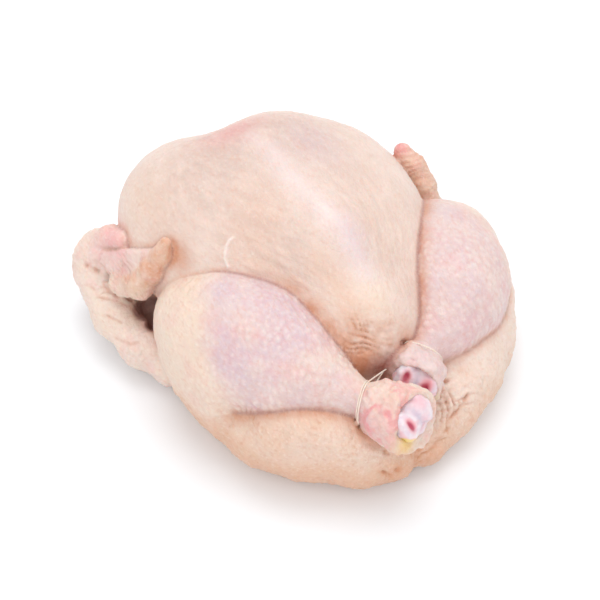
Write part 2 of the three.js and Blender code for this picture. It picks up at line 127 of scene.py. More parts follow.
KEEL = [(-11, 67, 104), (-7, 54, 105), (-6, 36, 104), (-3, 20, 103), (-1, 0, 104), (4, -19, 97), (7, -31, 88)]
KEEL_HEIGHT, KEEL_WIDTH = 0.8, 4.5  # of its ridge under the skin
FOLLICLES = dict(pitch=3.9, slant=34, scatter=0.55, radius=1.25, height=0.75)  # on the drumsticks
NET = dict(distance=2.3, width=0.8)  # the creases between them
PORES = dict(pitch=3.1, radius=0.85)
ROW_SPACING = 0.87  # between rows of follicles, in pitches
SWELLINGS = [  # height, centre, reach
    (2.4, (-22, 84, 95), (15, 14, 12)), (1.6, (20, -94, 26), 5.5), (1.2, (27, -86, 33), 4.5),
    (1.2, (-12, -102, 24), 5), (1.8, (-7, -103, 17), 5), (-1.6, (-12, -103, 22), 2)]
ROUGHNESS = [  # size and seed of the noise, height on the torso, thighs, wings and drumsticks
    (14, 1, 0.3, 0.6, 0.3, 0.4), (6, 2, 0.2, 0.45, 0.45, 0.25), (2.4, 3, 0.12, 0.5, 0.42, 0.25)]
LIE_FLAT = 0.8  # how much of the relief the bottom of a fold goes without
FEATHER_ROWS = [  # centre of the rows, where, reach, pitch, height
    ((-46, 28, 88), (-72, 62, 86), (24, 26, 20), 3.3, 0.5),
    ((-20, 10, 90), (-40, 76, 96), (26, 16, 14), 3.2, 0.4),
    ((60, 95, 90), (20, 52, 103), (22, 24, 14), 3.2, 0.42),
    ((90, 60, 90), (34, 14, 94), (16, 34, 18), 3.4, 0.32)]
FEATHER_ARC = 34  # the distance from the rows' centre at which follicles lie as far apart as the pitch says
FEATHER_SCATTER, FEATHER_RADIUS = 0.5, 0.9
GRAINS = [  # where, reach, along, long, fine, height
    ((-28, -2, 88), (26, 34, 22), (0.46, -0.85, -0.25), 11, 2.3, 0.7),
    ((20, -8, 94), (20, 40, 24), (0.05, -0.96, -0.26), 12, 2.4, 0.56),
    ((-50, 50, 94), (24, 30, 22), (0.3, 0.9, 0.3), 8, 2.6, 0.504),
    ((-68, 2, 82), (24, 26, 18), (0.85, 0.3, 0.42), 9, 2.2, 0.504),
    ((-36, -62, 78), (26, 26, 22), (0.5, -0.85, -0.1), 9, 2.4, 0.42),
    ((60, -40, 66), (26, 34, 28), (-0.5, -0.75, -0.4), 9, 2.4, 0.448),
    ((-88, -22, 44), (18, 30, 26), (0.4, -0.85, -0.35), 10, 2.6, 0.448)]
GRAIN_SEED = 40
WRINKLES = [  # centre, reach, across, pitch, depth
    ((-99, 36, 32), (20, 24, 18), (-0.15, 0.98, 0.18), 5.2, 0.5),
    ((-99, 36, 32), (20, 26, 18), (-0.10, 0.98, 0.25), 2.7, 0.6),
    ((-102, 60, 40), 13, (0.1, 0.9, 0.4), 3.2, 1.0),
    ((-98, 74, 44), 10, (-0.4, 0.7, 0.6), 3.0, 0.9),
    ((-91, 55, 58), (14, 17, 13), (0.5, 0.04, 0.86), 2.5, 0.9),
    ((-85, 37, 66), (9, 10, 20), (0.30, -0.30, 0.9), 2.6, 0.7),
    ((-91, 40, 56), (10, 12, 9), (0.5, -0.7, 0.5), 2.7, 0.9),
    ((-90, 84, 50), (12, 14, 14), (-0.1, -0.8, 0.6), 3.2, 0.8),
    ((74, 42, 62), 18, (-0.05, 0.6, 0.7), 2.9, 0.8),
    ((-70, -58, 41), (11, 12, 8), (0.62, -0.78, 0.05), 3.4, 1.2),
    ((-48, -74, 46), (20, 12, 8), (0.80, -0.6, 0.0), 2.7, 0.8),
    ((-26, -92, 38), (16, 12, 9), (0.3, -0.5, 0.8), 3.6, 1.0),
    ((31, -82, 37), (14, 12, 13), (-0.25, -0.75, -0.65), 4.0, 2.2),
    ((27, -88, 31), (11, 10, 12), (0.9, -0.35, 0.1), 3.2, 1.8),
    ((10, -97, 20), (14, 9, 8), (0.2, -0.3, 0.9), 3.6, 1.3),
    ((56, -80, 30), (18, 16, 14), (0.6, -0.7, -0.3), 3.6, 0.6),
    ((-9, -58, 68), (15, 11, 13), (0.5, 0.3, 0.8), 2.7, 1.1),
    ((-12, -54, 72), (15, 12, 13), (0.9, -0.3, 0.2), 2.9, 1.0),
    ((-16, -96, 66), (10, 10, 11), (0.3, -0.9, 0.3), 2.9, 0.8),
    ((9, -72, 60), (10, 8, 8), (-0.55, -0.8, 0.2), 2.9, 0.8)]
WANDER = 0.9  # how far the wrinkles stray, in pitches
GROOVES = [  # corners, width, depth
    ([(-103, 78, 40), (-100, 71, 41), (-98, 64, 40), (-97, 56, 42), (-97, 50, 45)], 1.3, 1.7),
    ([(-99, 73, 46), (-97, 66, 46), (-97, 60, 47)], 1.0, 1.0),
    ([(-5, -97, 73), (-9, -101, 71), (-12, -103, 67)], 1.2, 1.6),
    ([(-32, -92, 41), (-21, -96, 36), (-17, -98, 34), (-12, -101, 33)], 1.5, 2.0),
    ([(8, -73, 61), (15, -78, 60), (21, -78, 58)], 1.0, 0.9),
    ([(32, -80, 39), (27, -83, 36), (21, -87, 34)], 1.3, 1.7),
    ([(38, -84, 33), (31, -88, 30), (24, -91, 28)], 1.2, 1.2),
    ([(22, -92, 24), (13, -97, 20), (6, -99, 18)], 1.2, 1.3),
    ([(-22, -101, 26), (-16, -104, 20), (-14, -104, 13)], 1.3, 1.2),
    ([(-94, 73, 53), (-92, 65, 59), (-87, 60, 63)], 0.9, 1.2),
    ([(-99, 64, 37), (-98, 58, 37), (-96, 52, 37), (-89, 51, 33)], 0.9, 1.2),
    ([(-105, 60, 34), (-100, 54, 36), (-96, 50, 35), (-91, 46, 32)], 0.8, 0.9),
    ([(-109, 57, 27), (-104, 47, 31), (-99, 41, 30)], 0.8, 0.9),
    ([(-107, 72, 33), (-104, 64, 35), (-103, 60, 32)], 0.8, 0.9),
    ([(-104, 38, 23), (-100, 28, 26), (-96, 26, 28)], 0.8, 0.7)]
# A ridge's paleness is a painted highlight along it.
RIDGES = [  # corners, width, height, paleness
    ([(-45, 15, 92), (-47, 15, 91), (-50, 13, 89), (-52, 10, 86), (-52, 6, 83)], 0.75, 0.8, 0.9),
    ([(-3, -96, 74), (-8, -99, 73), (-13, -102, 69)], 1.4, 0.9, 0.5),
    ([(-96, 46, 52), (-91, 36, 60), (-86, 32, 68)], 1.5, 0.5, 0.3),
    ([(8, -71, 63), (15, -76, 62), (22, -77, 59)], 1.2, 0.8, 0.6)]

# Where each tint is strongest: strength, centre and reach of each spot.
TAN_SPOTS = [
    (0.45, (-42, 52, 99), (30, 34, 24)), (0.7, (-22, 72, 101), (26, 16, 14)),
    (0.4, (-30, 8, 94), (26, 40, 24)), (0.2, (22, 10, 97), (22, 44, 22)), (0.6, (10, 55, 104), (26, 22, 14))]
PEACH_SPOTS = [
    (0.25, (-28, 20, 97), (17, 22, 18)), (0.2, (-72, 58, 84), (20, 26, 20)),
    (0.15, (24, -8, 94), (16, 34, 22)), (0.25, (-40, 0, 84), (14, 20, 14))]
PEACH_STREAK = [(-13, -20, 92), (-10, -34, 86), (-9, -50, 76)]
LILAC_SPOTS = [(0.45, (7, -14, 98), (9, 16, 10)), (0.4, (17, 50, 103), (15, 20, 12))]
CREAM_SPOTS = [(0.3, (-76, 72, 75), 20), (0.6, (5, -44, 81), (9, 12, 9)), (0.4, (-9, 61, 105), (6, 8, 6))]
PINK_SPOTS = [
    (0.5, (-16, 79, 100), (18, 10, 9)), (0.9, (-87, 72, 57), (8, 14, 9)), (0.9, (71, 54, 75), 6),
    (0.7, (-88, 68, 62), 6), (0.3, (-96, 80, 52), 10)]
# Rust-coloured spots, partly painted shade: the shadow that the left wing's finger casts on the body, and
# shade in the hollows low between the legs.
RUST_AND_SHADE_SPOTS = [
    (0.8, (-70, 27, 79), (6, 8, 7)), (0.5, (6, -99, 12), (24, 10, 8)), (0.6, (39, -74, 41), 1.8),
    (0.8, (-12, -103, 22), 2.6)]
# Rust colour with painted shade beside the tail end, under the keel's tip.
TAIL_RUST_AND_SHADE = ((15, -58, 60), (7, 10, 9))
LEFT_HOCK, RIGHT_HOCK = ((-14, -97, 60), (16, 14, 16)), ((10, -72, 54), (14, 12, 14))
LEFT_FAT, RIGHT_FAT = ((-13, -111, 51), (6, 4, 7)), ((17, -87, 44), (4, 4, 6))
# The dark muscle shows through the drumsticks' skin past a plane: a point, a direction, and the border's two
# distances from the plane.
LEFT_MUSCLE = ((-73, -5, 79), (0.73, -0.44, 0.52), -7, 15)
RIGHT_MUSCLE = ((80, -20, 60), (-0.9, -0.2, 0.3), -6, 8)
BREAST_GRAIN, WEB_STREAKS, WEB_VEINS = (0.46, -0.85, -0.25), (0.2, 0.1, -1), (-0.3, -0.85, 0.3)

# ---------------- colours

SKIN_COLOURS = ("E7D3C8", "E0C9BD")
SKIN_TINTS = [  # attribute, colour, strongest mix
    ("tan", "C8B0A6", 0.9), ("peach", "DAAA8A", 0.9), ("orange", "D48A5C", 0.92), ("cream", "EAD4BE", 0.85),
    ("lilac", "CFB8C2", 0.9), ("pink", "E48C92", 0.85)]
REDDISH, REDDISH_MOST = "D49C84", 0.45
FLECKS, FLECKS_MOST = "F6E8E0", 0.4
# Marks: yellow fat; rust colour, which also carries painted shade along the folds and creases; painted shade,
# darkest at the bottom of the folds; pale skin with painted light; whiter follicle bumps.
SKIN_MARKS = [  # over the grain of the skin
    ("fat", "E6C270", 0.9), ("rust_and_painted_shade", "C88258", 0.88), ("painted_shade", "85321C", 0.95), ("pale_and_painted_light", "F4E8E2", 0.85),
    ("bump", "F4E4DE", 0.36)]
CARTILAGE_COLOURS = ("E8DCE0", "DECCD6")
CARTILAGE_TINTS = [("pink", "E8A6AE"), ("grey", "BCAAC0"), ("red", "B8405A"), ("yellow", "E8C878")]
ELASTIC_COLOURS = ("EFE2D6", "E4D4C6")
PAPER_COLOURS = ((0.9, 0.92, 0.945, 1), (0.91, 0.93, 0.955, 1))

# ---------------- distance fields


def smooth_min(a, b, k):
    h = np.maximum(k - np.abs(a - b), 0) / k
    return np.minimum(a, b) - h * h * k * 0.25


def smooth_max(a, b, k):
    return -smooth_min(-a, -b, k)


def smooth_step(x, start, stop):
    t = np.clip((x - start) / (stop - start), 0, 1)
    return t * t * (3 - 2 * t)


def blend(k, *distances):
    d = distances[0]
    for other in distances[1:]:
        d = smooth_min(d, other, k)
    return d


def turned(rx, ry, rz):
    (cx, cy, cz), (sx, sy, sz) = np.cos(np.radians([rx, ry, rz])), np.sin(np.radians([rx, ry, rz]))
    about_x = np.array([[1, 0, 0], [0, cx, -sx], [0, sx, cx]])
    about_y = np.array([[cy, 0, sy], [0, 1, 0], [-sy, 0, cy]])
    about_z = np.array([[cz, -sz, 0], [sz, cz, 0], [0, 0, 1]])
    return about_z @ about_y @ about_x


def egg(p, centre, radii, turn=(0, 0, 0)):
    q = (p - np.array(centre, p.dtype)) @ turned(*turn).astype(p.dtype)
    r = np.array(radii, p.dtype)
    scaled = np.sqrt(((q / r) ** 2).sum(-1))
    slope = np.sqrt(((q / (r * r)) ** 2).sum(-1))
    return scaled * (scaled - 1) / np.maximum(slope, 1e-6)


def round_cone(p, a, b):
    """Two balls (x, y, z, radius) and the cone that touches both."""
    a, b = np.array(a, p.dtype), np.array(b, p.dtype)
    axis = b[:3] - a[:3]
    length2 = axis @ axis
    taper = a[3] - b[3]
    slant2 = max(length2 - taper * taper, 1e-3)
    q = p - a[:3]
    along = q @ axis
    beyond = along - length2
    off2 = ((q * length2 - axis * along[..., None]) ** 2).sum(-1)
    k = np.sign(taper) * taper * taper * off2
    d = (np.sqrt(off2 * slant2 / length2) + along * taper) / length2 - a[3]
    d = np.where(np.sign(along) * slant2 * along * along * length2 < k,
                 np.sqrt(off2 + along * along * length2) / length2 - a[3], d)
    return np.where(np.sign(beyond) * slant2 * beyond * beyond * length2 > k,
                    np.sqrt(off2 + beyond * beyond * length2) / length2 - b[3], d)


def chain(p, k, balls):
    return blend(k, *[round_cone(p, a, b) for a, b in zip(balls, balls[1:])])


def web(p, corners, thickness):
    a, b, c = (np.array(corner, p.dtype) for corner in corners)
    normal = np.cross(b - a, c - a)
    inside = np.ones(p.shape[:-1], bool)
    nearest = np.full(p.shape[:-1], np.inf, p.dtype)
    for start, stop in ((a, b), (b, c), (c, a)):
        side, q = stop - start, p - start
        t = np.clip((q @ side) / (side @ side), 0, 1)[..., None]
        nearest = np.minimum(nearest, ((q - t * side) ** 2).sum(-1))
        inside &= q @ np.cross(normal, side) > 0
    flat = ((p - a) @ normal) ** 2 / (normal @ normal)
    return np.sqrt(np.where(inside, flat, nearest)) - thickness / 2


def limb(start, stop, girth, scale=1, bow=(0, 0, 0)):
    start, stop, bow = np.array(start), np.array(stop), np.array(bow)
    return [(*(start + (stop - start) * t + bow * 4 * t * (1 - t)), radius * scale) for t, radius in girth]


def torso_field(p):
    fillets = blend(12,
                    egg(p, (0, 17, 42), (68, 81, 45)),
                    egg(p, (-35, 49, 59), (49, 66, 42.5), (0, -16, 16)),
                    egg(p, (25, 41, 56), (46, 62, 42), (0, 16, 0)),
                    egg(p, (2, 62, 61), (36, 44, 37)))
    keel = chain(p, 12, [(4, 64, 71.5, 32), (0, 0, 75, 26), (-1, -36, 62, 18), (-2, -54, 58, 9)])
    belly = egg(p, (2, -46, 20), (52, 42, 22))
    neck_skin = chain(p, 8, [(-26, 84, 36, 15), (-4, 95, 30, 17), (20, 88, 34, 15)])
    return blend(3, blend(12, blend(16, fillets, keel), belly), neck_skin)


def unit(v):
    v = np.array(v, float)
    return v / np.linalg.norm(v)


def past(p, through, towards):
    """How far a point lies past the plane through a place, along a direction."""
    return (p - np.array(through, p.dtype)) @ unit(towards).astype(p.dtype)


def drumstick_field(p, leg):
    drumstick = chain(p, 8, limb(leg["knee"], leg["ankle"], leg["girth"], 1, leg["bow"]))
    hock = chain(p, 5, limb(leg["ankle"], leg["end"], HOCK_GIRTH, leg["hock_scale"]))
    beyond = past(p, leg["end"], leg["cut"])
    off_axis = np.sqrt(np.maximum(((p - np.array(leg["seat"], p.dtype)) ** 2).sum(-1) - beyond ** 2, 0))
    dish = np.maximum(off_axis - DISH_RADIUS, -beyond - DISH_DEPTH)
    return smooth_min(drumstick, smooth_max(smooth_max(hock, beyond, 3), -dish, 1.2), 2)


def left_wing(p):
    arm = blend(8,
                chain(p, 8, [(-52, 66, 34, 20), (-64, 40, 18, 15), (-81, 16, 13, 9.5)]),
                chain(p, 6, [(-81, 16, 13, 9.5), (-90.5, 33, 17, 12.2), (-96.5, 55, 22, 12.4),
                             (-95.5, 83, 29, 13.6)]))
    under_arm = web(p, [(-55, 60, 22), (-83, 18, 12), (-90, 78, 20)], 9)
    hand = blend(5, blend(6, arm, under_arm), chain(p, 5, [(-94, 88, 36, 11), (-93.5, 76, 40, 7)]))
    finger = chain(p, 4, [(-92.5, 54, 44.5, 7), (-87.5, 40, 53, 6.6), (-81.5, 35.5, 66.5, 5.8),
                          (-76.5, 34, 77, 4.7), (-74.5, 33, 85.5, 2.9)])
    skin = web(p, [(-96.5, 79, 46), (-93, 53, 46), (-78, 35, 77)], 5)
    thumb = chain(p, 3, [(-91, 90, 41, 7.8), (-88, 80, 52, 6.8), (-86, 66, 62.3, 5)])
    return dict(hand=hand, finger=finger, skin=skin, thumb=thumb)


def right_wing(p):
    arm = blend(8,
                chain(p, 8, [(52, 60, 34, 20), (64, 32, 18, 15), (82, 2, 16, 14)]),
                chain(p, 6, [(82, 2, 16, 14.5), (88, 32, 20, 13.5), (84, 60, 26, 12)]))
    finger = chain(p, 4, [(82, 58, 30, 10), (78, 33, 46, 6), (78, 39, 57, 5.6), (75, 46, 66, 5.4),
                          (72, 53, 72, 4)])
    thumb = chain(p, 5, [(80, 60, 34, 8), (74, 60, 42, 5)])
    return dict(hand=arm, finger=finger, thumb=thumb)


def whole_wing(parts):
    """The wing in one, with its thumb set off from the web by a tight crease."""
    hand = smooth_min(parts["hand"], smooth_min(parts["finger"], parts.get("skin", parts["finger"]), 3), 5)
    return smooth_min(hand, parts["thumb"], 2.5)


def carve(d, cutter, k=2):
    return smooth_max(d, -cutter, k)


def sleeve(p, leg, drumstick):
    """Room for the elastic, between the ankle and whatever lies against it."""
    return np.hypot(np.maximum(drumstick, 0), past(p, leg["ring"], leg["ring_axis"])) - SLEEVE_ROOM


def knee_softness(p, leg):
    """1 where drumstick and thigh run into each other, 0 where a tight fold parts them."""
    return smooth_step((p[..., :2] - np.array(leg["fold"], p.dtype)) @ np.array(leg["knee_side"], p.dtype),
                       0, leg["soft_over"])


def thigh_fields(p):
    return smooth_min(chain(p, 12, LEFT_THIGH), chain(p, 10, LEFT_FLAP), 8), chain(p, 12, RIGHT_THIGH)


def bird_field(p):
    drumsticks = [drumstick_field(p, leg) for leg in LEGS]
    sleeves = [sleeve(p, leg, drumstick) for leg, drumstick in zip(LEGS, drumsticks)]
    channel = round_cone(p, (*LEFT_LEG["ring"], SLEEVE_ROOM), (*RIGHT_LEG["ring"], SLEEVE_ROOM + 0.1))
    room = np.minimum(np.minimum(*sleeves), channel)
    pocket = chain(p, 1, WING_POCKET)
    body = torso_field(p)
    limbs = []
    for leg, thigh, drumstick, other in zip(LEGS, thigh_fields(p), drumsticks, sleeves[::-1]):
        knee = TIGHT_FOLD + (SOFTEST_KNEE - TIGHT_FOLD) * knee_softness(p, leg)
        limbs.append(smooth_min(carve(thigh, room), carve(drumstick, other), knee))
        body = smooth_min(body, thigh, 12)
    body = carve(carve(body, room), pocket, 3)
    for distance in limbs:
        body = smooth_min(body, distance, TIGHT_FOLD)
    for wing in (left_wing(p), right_wing(p)):
        body = smooth_min(body, carve(whole_wing(wing), pocket, 3), TIGHT_FOLD)
    return smooth_max(body, -p[..., 2], 1)


def knuckle_field(p):
    front = KNUCKLE_PROUD - LOBE_RADII[2]
    lobes = [egg(p, (side * LOBE_SPREAD, 0, front), LOBE_RADII) for side in (-1, 1)]
    lobes.append(egg(p, KNUCKLE_PAD["centre"], KNUCKLE_PAD["radii"]))
    neck = round_cone(p, (0, 0, front, KNUCKLE_NECK["radius"] + 1),
                      (0, 0, KNUCKLE_NECK["radius"] - KNUCKLE_NECK["depth"], KNUCKLE_NECK["radius"]))
    return blend(3, blend(1.2, *lobes), neck)


# ---------------- meshes of a field


def fill_pinches(d):
    """Fills an empty corner of the grid wherever the surface would meet itself along an edge."""
    filled = -1e-3
    while True:
        inside = d < 0
        before = inside.sum()
        for a, b in ((0, 1), (1, 2), (2, 0)):
            moved = np.moveaxis(d, (a, b), (0, 1))
            s = moved < 0
            down = s[:-1, :-1] & s[1:, 1:] & ~s[1:, :-1] & ~s[:-1, 1:]
            up = ~s[:-1, :-1] & ~s[1:, 1:] & s[1:, :-1] & s[:-1, 1:]
            moved[1:, :-1][down] = filled
            moved[:-1, :-1][up] = filled
        if (d < 0).sum() == before:
            return d


def sample(field, points):
    """The field at many points, some of them at a time on each core."""
    with ThreadPoolExecutor() as pool:
        return np.concatenate(list(pool.map(field, np.array_split(points, max(1, len(points) // BATCH)))))


def surface_net(field, low, high, step):
    """Points and outward quads of the field's surface on a grid."""
    axes = [np.arange(a, b + step / 2, step, dtype=np.float32) for a, b in zip(low, high)]
    nodes = np.stack(np.meshgrid(*axes, indexing="ij"), -1)
    d = fill_pinches(sample(field, nodes.reshape(-1, 3)).reshape(nodes.shape[:3]))
    inside = d < 0
    cells = [n - 1 for n in d.shape]
    count = np.zeros(cells, np.int8)
    for i, j, k in product((0, 1), repeat=3):
        count += inside[i:cells[0] + i, j:cells[1] + j, k:cells[2] + k]
    active = (count > 0) & (count < 8)
    number = np.full(cells, -1)
    number[active] = np.arange(active.sum())
    where = np.argwhere(active)
    total, hits = np.zeros((len(where), 3)), np.zeros(len(where))
    for axis in range(3):
        others = [a for a in range(3) if a != axis]
        for offset in product((0, 1), repeat=2):
            start = where.copy()
            start[:, others] += offset
            stop = start.copy()
            stop[:, axis] += 1
            a, b = d[tuple(start.T)], d[tuple(stop.T)]
            crossed = (a < 0) != (b < 0)
            point = start[crossed].astype(float)
            point[:, axis] += a[crossed] / (a[crossed] - b[crossed])
            total[crossed] += point
            hits[crossed] += 1
    points = total / hits[:, None] * step + np.array(low)
    quads = []
    for axis in range(3):
        b, c = (axis + 1) % 3, (axis + 2) % 3
        lower, upper = np.delete(inside, -1, axis), np.delete(inside, 0, axis)
        start = np.argwhere(lower != upper)
        start = start[(start[:, b] > 0) & (start[:, c] > 0)]
        ring = []
        for back_b, back_c in ((1, 1), (0, 1), (0, 0), (1, 0)):
            cell = start.copy()
            cell[:, b] -= back_b
            cell[:, c] -= back_c
            ring.append(number[tuple(cell.T)])
        quad = np.stack(ring, 1)
        empty_below = ~lower[tuple(start.T)]
        quad[empty_below] = quad[empty_below][:, ::-1]
        quads.append(quad)
    return points, np.concatenate(quads)


def largest_part(points, quads):
    label = np.arange(len(points))
    while True:
        joined = label.copy()
        np.minimum.at(joined, quads.ravel(), np.repeat(label[quads].min(1), 4))
        joined = joined[joined]
        if (joined == label).all():
            break
        label = joined
    keep = label == np.bincount(label).argmax()
    renumbered = np.cumsum(keep) - 1
    return points[keep], renumbered[quads[keep[quads[:, 0]]]]


def refine(points, quads):
    """Every quad in four."""
    sides = np.sort(np.concatenate([quads[:, [i, (i + 1) % 4]] for i in range(4)]), 1)
    side_number = sides[:, 0] * len(points) + sides[:, 1]
    _, first, where = np.unique(side_number, return_index=True, return_inverse=True)
    side = (len(points) + where).reshape(4, -1)
    centre = len(points) + len(first) + np.arange(len(quads))
    quarters = [np.stack([quads[:, i], side[i], centre, side[i - 1]], 1) for i in range(4)]
    points = np.concatenate([points, points[sides[first]].mean(1), points[quads].mean(1)])
    return points, np.concatenate(quarters)


CORNERS = np.array([(1, 1, 1), (1, -1, -1), (-1, 1, -1), (-1, -1, 1)])


def value_and_slope(field, points, reach=0.05):
    """The field and its gradient, from the four corners of a small tetrahedron."""
    around = (points[None] + CORNERS[:, None] * reach).reshape(-1, 3)
    corners = sample(field, around).reshape(4, -1)
    return corners.mean(0), corners.T @ CORNERS / (4 * reach)


def corner_mean(values, quads, count):
    """For each point, the mean over the quads round it of those quads' means."""
    total = np.stack([np.bincount(quads.ravel(), np.repeat(column, 4), count)
                      for column in values[quads].mean(1).T], 1)
    return total / np.bincount(quads.ravel(), minlength=count)[:, None]


def settle(field, points, quads, rounds, longest):
    """Evens out the mesh along the surface and moves it on to the field, by no more than the longest step."""
    for _ in range(rounds):
        value, gradient = value_and_slope(field, points)
        step = (value / np.maximum((gradient ** 2).sum(1), 0.05))[:, None] * gradient
        length = np.linalg.norm(step, axis=1, keepdims=True)
        normal = gradient / np.maximum(np.linalg.norm(gradient, axis=1, keepdims=True), 1e-6)
        move = corner_mean(points, quads, len(points)) - points
        move -= (move * normal).sum(1, keepdims=True) * normal
        points = points - step * np.minimum(1, longest / np.maximum(length, 1e-9)) + move * 0.4
    return points


def mesh_of(field, low, high, finest):
    points, quads = largest_part(*surface_net(field, low, high, finest * 2))
    points, quads = refine(settle(field, points, quads, 2, finest), quads)
    return settle(field, points, quads, 3, finest / 2), quads


# ---------------- relief and tints, point by point

RANDOM = np.random.default_rng(11)
LATTICE_SIDE, JITTER_SIDE = 32, 48
LATTICE = RANDOM.uniform(-1, 1, (LATTICE_SIDE,) * 3)
JITTER = RANDOM.uniform(-0.5, 0.5, (JITTER_SIDE, JITTER_SIDE, 3))
STREWN = RANDOM.uniform(-0.5, 0.5, (LATTICE_SIDE,) * 3 + (3,))


def noise(p, size, seed):
    """Smooth noise from -1 to 1 that changes over about that many millimetres."""
    q = p / size + seed * 5.3
    cell = np.floor(q).astype(int)
    t = q - cell
    t = t * t * (3 - 2 * t)
    total = np.zeros(len(p))
    for corner in product((0, 1), repeat=3):
        i, j, k = ((cell + corner) % LATTICE_SIDE).T
        total += np.prod(np.where(corner, t, 1 - t), axis=1) * LATTICE[i, j, k]
    return total


def grain(p, along, long, fine, seed):
    """Noise drawn out along a direction."""
    ahead = unit(along)
    return noise(p / fine + ahead * (p @ ahead)[:, None] * (1 / long - 1 / fine), 1, seed)


def spot(p, centre, reach):
    """1 at the centre, fading out round about the reach (one number, or one for each axis)."""
    return np.exp(-(((p - np.array(centre)) / reach) ** 2).sum(1))


def spots(p, marks):
    """Several spots at once, each with its strength."""
    return sum(strength * spot(p, centre, reach) for strength, centre, reach in marks)


def line(p, corners, width):
    """1 on a line through the corners, fading out over the width."""
    nearest = np.full(len(p), np.inf)
    for a, b in zip(corners, corners[1:]):
        a, side = np.array(a, float), np.array(b, float) - a
        t = np.clip((p - a) @ side / (side @ side), 0, 1)[:, None]
        nearest = np.minimum(nearest, ((p - a - t * side) ** 2).sum(1))
    return np.exp(-nearest / width ** 2)


def wrinkles(p, centre, reach, across, pitch, seed):
    """Folds side by side, from -1 in each valley to 0 on each back, fading out round the reach."""
    phase = (p - np.array(centre)) @ unit(across) / pitch + WANDER * noise(p, pitch * 3, seed)
    uneven = np.clip(0.75 + 0.8 * noise(p, pitch * 2.3, seed + 1), 0.1, 1.5)
    return spot(p, centre, reach) * uneven * (np.abs(np.sin(math.pi * phase)) - 1)


def follicles(u, v, pitch, scatter):
    """Distance to the nearest follicle of slanting rows, and that follicle's strength."""
    rows = pitch * ROW_SPACING
    nearest, strength = np.full(len(u), np.inf), np.zeros(len(u))
    for row, place in product((-1, 0, 1), repeat=2):
        j = np.rint(v / rows).astype(int) + row
        i = np.rint(u / pitch - j / 2).astype(int) + place
        shift = JITTER[i % JITTER_SIDE, j % JITTER_SIDE]
        r = np.hypot((i + j / 2 + shift[:, 0] * scatter) * pitch - u, (j + shift[:, 1] * scatter) * rows - v)
        closer = r < nearest
        nearest = np.where(closer, r, nearest)
        strength = np.where(closer, 0.75 + shift[:, 2] * 0.7, strength)
    return nearest, strength


def pores(p, pitch):
    """Distance to the nearest of many points strewn through space."""
    cell = np.rint(p / pitch).astype(int)
    nearest = np.full(len(p), np.inf)
    for offset in product((-1, 0, 1), repeat=3):
        at = cell + offset
        i, j, k = (at % LATTICE_SIDE).T
        nearest = np.minimum(nearest, np.linalg.norm((at + STREWN[i, j, k]) * pitch - p, axis=1))
    return nearest


def fold(a, b, width):
    """1 where two bodies meet, 0 where the further one is the width away."""
    return 1 - smooth_step(np.maximum(a, b), TIGHTEST, width)


def beside(a, b, width):
    """Like a fold, on the skin of the first body only."""
    return fold(a, b, width) * smooth_step(b - a, -0.4, 1)


def round_leg(p, leg):
    """Distance down the leg from the knee, distance round it, and the share of its length."""
    knee, ankle = np.array(leg["knee"], float), np.array(leg["ankle"], float)
    axis = unit(ankle - knee)
    side = unit(np.cross(axis, (0, 0, 1)))
    q = p - knee
    share = q @ axis / np.linalg.norm(ankle - knee)
    girth = np.interp(share, *zip(*leg["girth"]))
    return q @ axis, np.arctan2(q @ side, q @ np.cross(side, axis)) * girth, share


# ---------------- how the skin's parts lie

P, skin_quads = mesh_of(bird_field, GRID_LOW, GRID_HIGH, SKIN_FINEST)
normals = value_and_slope(bird_field, P)[1]
normals /= np.maximum(np.linalg.norm(normals, axis=1, keepdims=True), 1e-6)

thighs = thigh_fields(P)
drums = [drumstick_field(P, leg) for leg in LEGS]
wings = [left_wing(P), right_wing(P)]
bodies = dict(torso=torso_field(P), thigh_l=thighs[0], thigh_r=thighs[1], drum_l=drums[0], drum_r=drums[1],
              wing_l=blend(4, *wings[0].values()), wing_r=blend(4, *wings[1].values()))
closeness = {name: np.exp(-np.clip(d, -2, 40) / 1.2) for name, d in bodies.items()}
total_closeness = sum(closeness.values())
share = {name: value / total_closeness for name, value in closeness.items()}
share.update(thigh=share["thigh_l"] + share["thigh_r"], drumstick=share["drum_l"] + share["drum_r"],
             wing=share["wing_l"] + share["wing_r"])
bodies.update(thumb=wings[0]["thumb"], web=wings[0]["skin"], finger_l=wings[0]["finger"],
              finger_r=wings[1]["finger"], pocket=chain(P, 1, WING_POCKET))
tail_end = spot(P, TAIL_END, TAIL_REACH) * share["torso"]
extent = dict(all=1, left_knee=1 - knee_softness(P, LEFT_LEG), right_knee=1 - knee_softness(P, RIGHT_LEG),
              tail_half=smooth_step(-P[:, 1], -6, 34), thumb=spot(P, THUMB_ROOT, THUMB_REACH))


def on_skin(**strengths):
    """A strength for each of some parts of the bird, by its share in the skin at each point."""
    return sum(strength * share[name] for name, strength in strengths.items())


def near(name):
    """1 on a body, fading out beside it."""
    return np.exp(-np.clip(bodies[name], 0, 20) / 1.5)


def above(low, high):
    """0 below the low height, 1 above the high one."""
    return smooth_step(P[:, 2], low, high)


def below(low, high):
    """1 below the low height, 0 above the high one."""
    return smooth_step(-P[:, 2], -high, -low)


def patchy(size, seed, start, stop):
    """0 to 1, in patches of about that many millimetres."""
    return smooth_step(noise(P, size, seed), start, stop)


def strongest(kind, folds):
    """The strongest fold at each point."""
    return np.maximum.reduce([strength * kind(bodies[a], bodies[b], width) * extent[where]
                              for strength, a, b, width, where in folds])


# ---------------- relief


